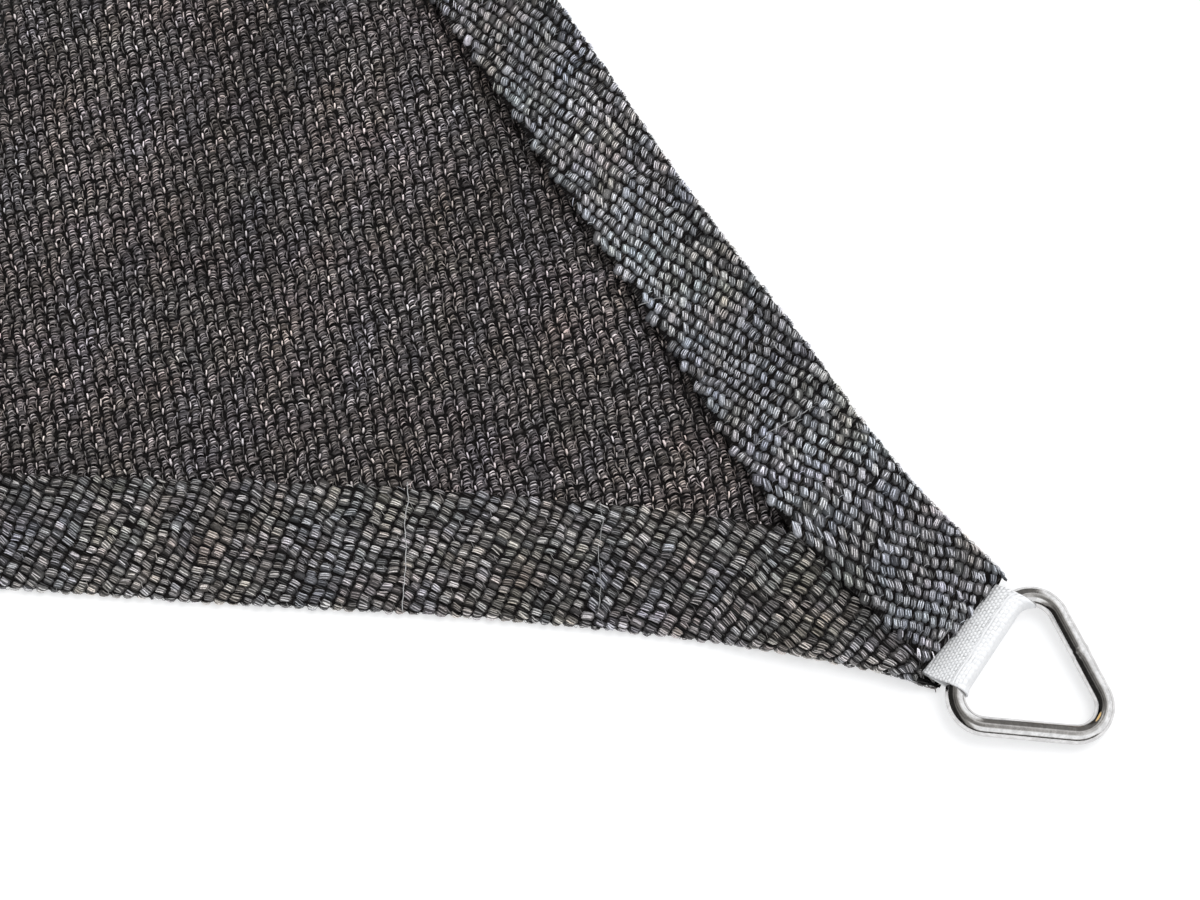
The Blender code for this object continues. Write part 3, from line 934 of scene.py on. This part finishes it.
def sheet_mesh(name):
    """The whole cloth as one closed mesh, with the knit's columns and rows as its map.

    Faces of material 1 show the cloth's back: the underside and the turned-over hems.
    """
    x_rows = stations()
    points, weave = [], []
    for side in range(3):
        for x in x_rows:
            inside, height, run = hem_section(x)
            many = np.full_like(inside, x)
            plan = edge_point(many, inside)
            if x in (x_rows[0], x_rows[-1]):
                plan = slid_to_end(plan, height, x, "left" if x == x_rows[0] else "right")
            points.append(np.concatenate((side_of(plan, -side), height[:, None]), -1))
            weave.append(weave_place(side_of(edge_point(many, FOLD - run), -side)))
    numbers = np.arange(sum(len(section) for section in points)).reshape(3, len(x_rows), -1)
    points, weave = np.concatenate(points), np.concatenate(weave)
    hems = np.concatenate([grid_quads(rows)[:, (0, 3, 2, 1)] for rows in numbers])
    caps = np.concatenate([(rows[0], rows[-1, ::-1]) for rows in numbers])
    low, high = numbers[..., 0], numbers[..., -1]
    after = np.roll(low[:, 0], -1), np.roll(high[:, 0], -1)
    walls = np.stack((low[:, -1], after[0], after[1], high[:, -1]), -1)

    panels = []
    for edge, level in ((low.ravel(), SKIN), (high.ravel(), CLOTH - SKIN)):
        rings = [edge]
        plans = [points[edge, :2] * share for share in PANEL_RINGS] + [np.zeros((1, 2))]
        for plan in plans:
            height = panel_lift(plan) + level
            rings.append(np.arange(len(plan)) + len(points))
            points = np.concatenate((points, np.concatenate((plan, height[:, None]), -1)))
            weave = np.concatenate((weave, weave_place(plan)))
        middle, last = rings.pop()[0], rings[-1]
        panels.append(grid_quads(np.stack(rings), True))
        panels.append(np.stack((last, np.roll(last, -1), np.full_like(last, middle)), -1))
    under, under_fan, upper, upper_fan = panels
    parts = (
        # faces, material
        (hems, 1),
        (under[:, ::-1], 1),
        (upper, 0),
        (walls, 1),
        (caps, 1),
        (under_fan[:, ::-1], 1),
        (upper_fan, 0),
    )
    mesh = mesh_of(name, points, *(faces for faces, _ in parts), shift=SHIFT)
    kinds = np.concatenate([np.full(len(faces), kind, np.int32) for faces, kind in parts])
    mesh.polygons.foreach_set("material_index", kinds)
    corner = np.empty(len(mesh.loops), np.int32)
    mesh.loops.foreach_get("vertex_index", corner)
    on_top = np.repeat(kinds, [face.loop_total for face in mesh.polygons]) == 0
    spots = weave[corner]
    spots[on_top] = weave_place(points[corner[on_top], :2])
    mesh.uv_layers.new(name="Weave").uv.foreach_set("vector", spots.astype(np.float32).ravel())
    return mesh


def sheet_material(name):
    """The knit away from the near corner: painted light on the strands' crowns, painted shade in the
    gaps between them, and their relief.
    """
    step, strands, roundness, dark, light = SHEET_KNITS[name]
    nodes = new_material(name)
    spot = nodes.node("ShaderNodeUVMap", uv_map="Weave").outputs[0]
    wale, course, _ = nodes.node("ShaderNodeSeparateXYZ", {0: spot}).outputs
    column = nodes.math("FLOOR", wale)
    odd = nodes.math("MODULO", nodes.math("ABSOLUTE", column), 2.0)
    across = nodes.math("SUBTRACT", wale, column)
    sloped = nodes.math("ADD", course, nodes.math("MULTIPLY", across, -0.06))
    shifted = nodes.math("ADD", sloped, nodes.math("MULTIPLY", odd, step))
    lines = nodes.math("MULTIPLY", shifted, strands)
    ridge = nodes.math("SINE", nodes.math("MULTIPLY", nodes.math("FRACT", lines), math.pi))
    body = nodes.math("SINE", nodes.math("MULTIPLY", across, math.pi))
    height = nodes.math("MULTIPLY", ridge, nodes.math("POWER", body, roundness))
    seed = nodes.node("ShaderNodeCombineXYZ", {0: column, 1: nodes.math("FLOOR", lines)}).outputs[0]
    chance = nodes.node("ShaderNodeTexWhiteNoise", {"Vector": seed}).outputs["Value"]
    # painted light and shade: brighter on each strand's crown, darker in the gaps; chance varies
    # each strand's own tone
    tone = nodes.math("MULTIPLY", height, nodes.times(chance, 0.9, 0.25))
    place = nodes.place()
    blotch = nodes.noise(60.0, place)
    tint = nodes.ramp(blotch, (0.3, (1.04, 1.0, 0.95)), (0.7, (0.96, 1.0, 1.06)))
    colour = nodes.mix(1.0, nodes.ramp(tone, (0.25, dark), (1.0, light)), tint, "MULTIPLY")
    near = near_mask(nodes, place)
    # under the strands the sheet is painted nearly black, as painted shade in their gaps
    return nodes.surface(
        Base_Color=nodes.mix(near, colour, nodes.mix(0.86, colour, SHADE_UNDER_STRANDS)),
        Roughness=nodes.times(chance, 0.2, 0.45),
        Specular_IOR_Level=nodes.times(near, -0.14, 0.18),
        Normal=nodes.bump(height, 0.35 * MM, 0.8),
    )


def near_mask(nodes, place):
    """1 where the strands cover the sheet."""
    corner = near_corner()
    split = nodes.node("ShaderNodeSeparateXYZ", {0: place})
    mask = None
    for axis, (low, high) in enumerate((NEAR_X, NEAR_Y)):
        for edge, sign in ((low, 1.0), (high, -1.0)):
            room = nodes.math("SUBTRACT", split.outputs[axis], float(corner[axis] + edge))
            room = nodes.math("MULTIPLY", room, sign / NEAR_FADE)
            mask = room if mask is None else nodes.math("MINIMUM", mask, room)
    return nodes.math("MINIMUM", nodes.math("MAXIMUM", mask, 0.0), 1.0)


# ---- webbing and ring
LOOP_STEPS = 31                     # points of the top leg's climb to the bar
ARC_STEPS = 64                      # steps round the wire
STRIP_DEEP = 0.42 * MM              # depth of the webbing's weave
STRIP_RIM = 0.6 * MM                # width of the strip's rounded rims
RIB = 3.3 * MM                      # from the cloth's mouth to the middle of the rib
RIB_HALF = 0.4 * MM
BROAD_FROM = 3.7 * MM               # from the mouth to the broad beads
LONG_FROM = 5.4 * MM                # to the row of longer ones
PLAIN_FROM = 6.7 * MM               # and to the plain edge
NEAR_STEP = 0.22 * MM               # between the strip's points at the near corner
FAR_STEP = 0.55 * MM                # and at the other two
WIRE_SIDES = 28
WELD_HALF = 1.3 * MM                # half the length of the ring's weld
WELD_REACH = 6 * MM                 # how far from its middle the seam may show
WELD_ROUGH = 0.05                   # of the wire's radius
BEND_STEPS = 22
STRAIGHT_STEPS = 64
RING_TALL = RING_SIDE * math.sin(math.radians(60))


def loop_line():
    """Centre line of the webbing, (x, z) from the bar's centre, top leg first.

    The top leg climbs softly to the bar from 5 mm inside the cloth. Also returns the
    numbers of the points where the climb starts, where it ends and where the arc ends.
    """
    around = WIRE_RADIUS + HUG + THIN / 2
    mouth = -BAR_REACH + GAP
    low = CLOTH + GAP + WEBBING / 2 - BAR_HEIGHT
    high = low + WEBBING + GAP
    facing = math.atan2(-low, -mouth)
    last = facing - math.asin(around / math.hypot(mouth, low)) - math.pi / 2
    inner = mouth - GAP - WEBBING_IN_HEM
    start = mouth - 5 * MM
    climb = np.linspace(0, 1, LOOP_STEPS)
    eased = high + (around - high) * climb * climb * (3 - 2 * climb)
    line = [(inner, high)] + list(zip(start * (1 - climb), eased))
    line += [heading(turn) * around for turn in np.linspace(math.pi / 2, last, ARC_STEPS + 1)[1:]]
    numbers = (1, LOOP_STEPS, LOOP_STEPS + ARC_STEPS)
    return np.array(line + [(mouth, low), (inner, low)]), numbers


def bar_section(across):
    """The askew bar's middle along X at places across, and how much wider it is."""
    straight = RING_SIDE / 2 - RING_BEND * math.tan(math.radians(60))
    sides = []
    for radius in (RING_BEND + WIRE_RADIUS, RING_BEND - WIRE_RADIUS):
        bent = np.zeros_like(across)
        for _ in range(5):
            down = (across - bent * math.sin(RING_TURN)) / math.cos(RING_TURN)
            past = np.maximum(0.0, np.abs(down) - straight)
            bent = RING_BEND - np.sqrt(radius**2 - past**2)
        sides.append(bent * math.cos(RING_TURN) - down * math.sin(RING_TURN))
    return (sides[0] + sides[1]) / 2, (sides[1] - sides[0]) / 2 / WIRE_RADIUS


def beads(along, across, row, pitch):
    """Rows of rounded beads, every second row half a bead over, from 0 to 1."""
    number = np.floor(along / row)
    up = np.sin(math.pi * (along / row - number))
    side = np.abs(np.sin(math.pi * (across / pitch + 0.5 * (number % 2))))
    return np.sqrt(up * side)


def webbing_relief(along, across):
    """How far the weave stands out, 0 to 1, `along` the strip from the cloth.

    Fine beads come first, then a rib, broad beads, a row of longer ones and a plain edge.
    """
    wave = along + 0.10 * MM * np.sin(across / (3.1 * MM)) + 0.06 * MM * np.sin(across / (0.9 * MM))
    fine = beads(wave, across, row=0.85 * MM, pitch=1.15 * MM)
    broad = beads(wave - BROAD_FROM, across + 0.3 * MM, row=0.85 * MM, pitch=1.3 * MM)
    long = beads(wave - LONG_FROM, across, row=1.3 * MM, pitch=1.50 * MM)
    from_rib = np.abs(wave - RIB)
    relief = np.where(wave < RIB, fine, 0.35 + 0.65 * broad)
    relief = np.where(from_rib < RIB_HALF, 0.95 - 0.75 * from_rib / RIB_HALF, relief)
    relief = np.where((wave > LONG_FROM) & (wave < PLAIN_FROM), 0.50 + 0.50 * long, relief)
    return np.where(wave > PLAIN_FROM, 0.62, relief)


def uneven_steps(total, first, last, fine, coarse):
    """Distances along a strip, `fine` apart from first to last and `coarse` elsewhere."""
    runs = ((0, first, coarse), (first, last, fine), (last, total, coarse))
    return np.unique(np.concatenate([
        np.linspace(low, high, math.ceil((high - low) / step) + 1) for low, high, step in runs]))


def webbing_mesh(step):
    """The strip as a closed sheet, its woven outer face in relief; also its painted shade, darker in
    the weave's pits and on its plain edge.
    """
    corners, (start, top, end) = loop_line()
    far = path_lengths(corners)
    mouth = np.interp(-BAR_REACH, corners[:top + 1, 0], far[:top + 1])
    at = uneven_steps(far[-1], mouth - 8 * MM, mouth + 13 * MM, fine=step, coarse=1.5 * MM)
    line = on_path(at, far, corners)
    follows = np.interp(at, (far[start], far[top], far[end], far[end + 1]), (0, 1, 1, 0))
    normal = left_of(unit(np.gradient(line, at, axis=0)))
    columns = math.ceil(WEBBING_WIDTH / step) + 1
    across = np.linspace(-WEBBING_WIDTH / 2, WEBBING_WIDTH / 2, columns)
    middle, wider = bar_section(across + WEBBING_SHIFT - RING_SHIFT)
    grid_at, grid_across = np.meshgrid(at, across, indexing="ij")
    relief = webbing_relief(grid_at - mouth, grid_across)
    out = THIN / 2 - STRIP_DEEP + relief * STRIP_DEEP
    rim = np.clip((np.abs(grid_across) - WEBBING_WIDTH / 2 + STRIP_RIM) / STRIP_RIM, 0, 1)
    out = out * np.sqrt(1.001 - 0.9 * rim**2)
    shells = []
    for offset in (out, -np.full_like(out, THIN / 2)):
        x = line[:, None, 0] + normal[:, None, 0] * offset
        z = line[:, None, 1] + normal[:, None, 1] * offset
        x = x * (1 + (wider[None] - 1) * follows[:, None]) + middle[None] * follows[:, None]
        shells.append(np.stack((BAR_REACH + x, WEBBING_SHIFT + grid_across, BAR_HEIGHT + z), -1))
    points = np.concatenate([shell.reshape(-1, 3) for shell in shells])
    index = np.arange(out.size).reshape(out.shape)
    outer = grid_quads(index)
    edge = np.concatenate((index[0, :], index[1:, -1], index[-1, -2::-1], index[-2:0:-1, 0]))
    after = np.roll(edge, -1)
    wall = np.stack((after, edge, edge + out.size, after + out.size), -1)
    # painted shade: the weave's pits darker, and the plain edge a little darker where it turns over
    # the wire
    shades = np.tile(0.42 + 0.58 * np.clip(relief.ravel() * 1.35, 0, 1), 2)
    return points, np.concatenate((outer, (outer + out.size)[:, ::-1], wall)), shades


def ring_line():
    """Closed centre line of the ring, its bar on X = 0 and its tip at +X."""
    bends = (
        # corner, first direction of travel
        ((0.0, -RING_SIDE / 2), -90),
        ((RING_TALL, 0.0), 30),
        ((0.0, RING_SIDE / 2), 150),
    )
    line = []
    for corner, way in bends:
        centre = np.array(corner) + heading(math.radians(way + 150)) * RING_BEND * 2
        angles = np.radians(way - 90 + np.linspace(0, 120, BEND_STEPS + 1))
        bend = centre + np.stack((np.cos(angles), np.sin(angles)), -1) * RING_BEND
        if line:
            line.append(np.linspace(line[-1][-1], bend[0], STRAIGHT_STEPS + 1)[1:-1])
        line.append(bend)
    line.append(np.linspace(line[-1][-1], line[0][0], STRAIGHT_STEPS + 1)[1:-1])
    return np.concatenate(line)


def ring_mesh_points():
    """The ring's wire, with the flattened seam of its weld halfway along one side."""
    line = ring_line()
    out = -left_of(unit(np.roll(line, -1, 0) - np.roll(line, 1, 0)))
    turn = np.arange(WIRE_SIDES) * 2 * math.pi / WIRE_SIDES
    weld = line - np.array((RING_TALL / 2, RING_SIDE / 4))
    past = weld @ heading(math.radians(150))
    near = np.exp(-((past / WELD_HALF) ** 4)) * (np.linalg.norm(weld, axis=1) < WELD_REACH)
    seam = 0.4 + np.sin(turn * 3 + 1)[None] + 0.5 * np.sin(past / (0.35 * MM))[:, None]
    radius = WIRE_RADIUS * (1 + WELD_ROUGH * near[:, None] * seam)
    flat = line[:, None] + out[:, None] * (np.cos(turn) * radius)[..., None]
    points = np.concatenate((flat, (np.sin(turn) * radius)[..., None]), -1)
    numbers = np.arange(radius.size).reshape(radius.shape)
    quads = grid_quads(np.concatenate((numbers, numbers[:1])), True)[:, (0, 3, 2, 1)]
    return points.reshape(-1, 3), quads


def ring_tilt():
    """How steeply the ring slopes from its bar down to its tip on the floor."""
    tip = RING_TALL - RING_BEND
    return math.asin((BAR_HEIGHT - WIRE_RADIUS) / tip)


def corner_matrix(corner):
    """From a corner's middle, with +X outward, to the plan about the sail's middle."""
    middle = Matrix.Translation((*corner_middle(corner), 0))
    return middle @ Matrix.Rotation(BISECTORS[corner], 4, "Z")


def webbing_material():
    nodes = new_material("white_webbing")
    fibre = nodes.noise(1100.0, nodes.place(), 3.0, 0.6)
    colour = nodes.ramp(fibre, (0.3, (0.89, 0.895, 0.91)), (0.7, (0.97, 0.97, 0.975)))
    # painted shade of the weave's pits and plain edge, kept on the strip's points
    shade = nodes.node("ShaderNodeAttribute", attribute_name="weave").outputs["Color"]
    return nodes.surface(
        Base_Color=nodes.mix(1.0, colour, shade, "MULTIPLY"),
        Roughness=0.6,
        Specular_IOR_Level=0.1,
        Normal=nodes.bump(fibre, 0.06 * MM, 0.4),
    )


def steel_material():
    nodes = new_material("polished_steel")
    place = nodes.place()
    scuffs = nodes.noise(520.0, place, 4.0, 0.7)
    return nodes.surface(
        Base_Color=nodes.ramp(scuffs, (0.3, (0.54, 0.53, 0.525)), (0.7, (0.74, 0.73, 0.725))),
        Metallic=1.0,
        Roughness=nodes.times(nodes.noise(160.0, place), 0.14, 0.03),
        Normal=nodes.bump(scuffs, 0.04 * MM, 0.5),
    )


# ---- stage
CAMERA_OFFSET = Vector((-0.09581, -0.16758, 0.60077))  # from the right corner's middle
CAMERA_TURN = math.radians(1.2)
CAMERA_PITCH = math.radians(70)     # how steeply it looks down
LENS = 72.0
FLOOR_HALF = 15.0
KEY_WAY = (0.50, 0.40, 0.95)        # towards the one soft light
KEY_DISTANCE = 6.0
KEY_SIZE = 4.0
KEY_LIGHT = 150.0
WORLD_LIGHT = 0.84
GLOSS_LIGHT = 1.26                  # of the surroundings that the steel mirrors
GLINT = (-0.45, 0.62, 0.64)         # direction of a small golden shine
DARK_ZONES = (
    # how much darker; ranges of the direction, each from its value outside to inside
    (0.70, ("z", 0.88, 0.97), ("x", 0.34, 0.14), ("y", 0.40, 0.26)),
    (0.74, ("x", -0.08, -0.30)),
    (0.93, ("x", -0.42, -0.58)),
    (0.86, ("y", 0.34, 0.52), ("x", 0.48, 0.26)),
    (0.85, ("z", 0.10, 0.03)),
    (0.90, ("z", 0.42, 0.26), ("y", -0.50, -0.66)),
    (0.35, ("z", 0.80, 0.88), ("y", -0.50, -0.35)),
)


def near_corner():
    """The right corner's middle in the model's frame."""
    return corner_middle("right") + SHIFT[:2]


def make_camera():
    turn = Matrix.Rotation(CAMERA_TURN, 3, "Z")
    data = bpy.data.cameras.new("camera")
    data.sensor_width = 36.0
    data.lens = LENS
    data.clip_start = 0.005
    data.clip_end = 100.0
    camera = new_piece("camera", data)
    camera.location = Vector((*near_corner(), 0)) + turn @ CAMERA_OFFSET
    level = Matrix.Rotation(math.pi / 2 - CAMERA_PITCH, 3, "X")
    camera.rotation_euler = (turn @ level).to_euler()
    bpy.context.scene.camera = camera


def make_floor():
    corners = np.array(((-1, -1, 0), (1, -1, 0), (1, 1, 0), (-1, 1, 0))) * FLOOR_HALF
    nodes = new_material("pale_floor")
    mottle = nodes.noise(3.0, nodes.place())
    pale = nodes.surface(
        Base_Color=nodes.ramp(mottle, (0.3, (0.62, 0.62, 0.625)), (0.7, (0.64, 0.64, 0.64))),
        Roughness=0.6,
        Specular_IOR_Level=0.2,
        Emission_Color=(1, 1, 1, 1),
        Emission_Strength=0.46,
    )
    mesh = mesh_of("floor", corners, [[0, 1, 2, 3]], shift=(0, 0, -0.05 * MM))
    floor = new_piece("floor", mesh, pale)


def make_key():
    """A square soft light that shines on the near corner but not in the steel."""
    data = bpy.data.lights.new("key", "AREA")
    data.shape = "SQUARE"
    data.size = KEY_SIZE
    data.energy = KEY_LIGHT
    light = new_piece("key", data)
    way = Vector(KEY_WAY).normalized()
    light.visible_glossy = False
    light.location = Vector((*near_corner(), 0)) * 0.5 + way * KEY_DISTANCE
    light.rotation_euler = way.to_track_quat("Z", "Y").to_euler()


def make_world():
    """An even bright studio, whose shine is grey overhead and dark to the left and back."""
    world = bpy.data.worlds.new("studio")
    bpy.context.scene.world = world
    nodes = Nodes(world)

    def eased(value, low, high):
        """0 at low, 1 at high."""
        values = dict(enumerate((value, low, high, 0.0, 1.0)))
        made = nodes.node("ShaderNodeMapRange", values, interpolation_type="SMOOTHSTEP")
        return made.outputs[0]

    way = nodes.node("ShaderNodeTexCoord").outputs["Generated"]
    axes = dict(zip("xyz", nodes.node("ShaderNodeSeparateXYZ", {0: way}).outputs))
    bright = 1.0
    for darker, *ranges in DARK_ZONES:
        inside = 1.0
        for axis, low, high in ranges:
            inside = nodes.times(eased(axes[axis], low, high), inside)
        bright = nodes.times(bright, nodes.times(inside, -darker, 1.0))
    towards = {0: way, 1: Vector(GLINT).normalized()}
    glint = nodes.node("ShaderNodeVectorMath", towards, operation="DOT_PRODUCT")
    spark = eased(glint.outputs["Value"], 0.975, 0.990)
    bright = nodes.times(spark, 0.9, bright)
    glossy = nodes.node("ShaderNodeLightPath").outputs["Is Glossy Ray"]
    dim = nodes.times(glossy, nodes.times(bright, -1.0, 1.0))
    colour = nodes.mix(dim, (0.97, 0.985, 1.0, 1), (1.0, 0.96, 0.90, 1))
    strength = nodes.times(glossy, nodes.times(bright, GLOSS_LIGHT, -WORLD_LIGHT), WORLD_LIGHT)
    background = nodes.tree.nodes["Background"].inputs
    colour = nodes.mix(nodes.times(glossy, spark), colour, (1.0, 0.66, 0.26, 1))
    nodes.feed(background["Color"], colour)
    nodes.feed(background["Strength"], strength)


# ---- the whole model
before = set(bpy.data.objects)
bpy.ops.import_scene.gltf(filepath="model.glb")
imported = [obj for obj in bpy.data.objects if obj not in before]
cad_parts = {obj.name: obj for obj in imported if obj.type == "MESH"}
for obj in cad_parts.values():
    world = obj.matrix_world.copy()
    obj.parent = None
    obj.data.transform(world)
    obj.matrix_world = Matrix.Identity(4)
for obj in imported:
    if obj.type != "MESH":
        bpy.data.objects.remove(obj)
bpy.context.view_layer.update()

make_camera()
make_floor()
make_key()
make_world()
bpy.context.scene.view_settings.view_transform = "Standard"

cloth = new_piece(
    "sail_sheet",
    sheet_mesh("sail_sheet"),
    sheet_material("knit_face"),
    sheet_material("knit_back"),
)
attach(cloth, "root")
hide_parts("sail_cloth")
strands = strand_pieces(strand_material()) + thread_pieces()
for piece in strands:
    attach(piece, "root")

white, steel = webbing_material(), steel_material()
bar = Matrix.Translation((BAR_REACH, RING_SHIFT, BAR_HEIGHT))
askew = Matrix.Rotation(RING_TURN, 4, "Z") @ Matrix.Rotation(ring_tilt(), 4, "Y")
for corner in CORNERS:
    place = Matrix.Translation(SHIFT) @ corner_matrix(corner)
    points, quads, shades = webbing_mesh(NEAR_STEP if corner == "right" else FAR_STEP)
    mesh = mesh_of(f"loop_{corner}", points, quads)
    # the strip's painted shade
    paint(mesh, "weave", shades[:, None])
    mesh.transform(place)
    piece = new_piece(f"loop_{corner}", mesh, white)
    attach(piece, "root")
    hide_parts(f"webbing_{corner}")
    mesh = mesh_of(f"wire_{corner}", *ring_mesh_points())
    mesh.transform(place @ bar @ askew)
    piece = new_piece(f"wire_{corner}", mesh, steel)
    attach(piece, "root")
    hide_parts(f"ring_{corner}")
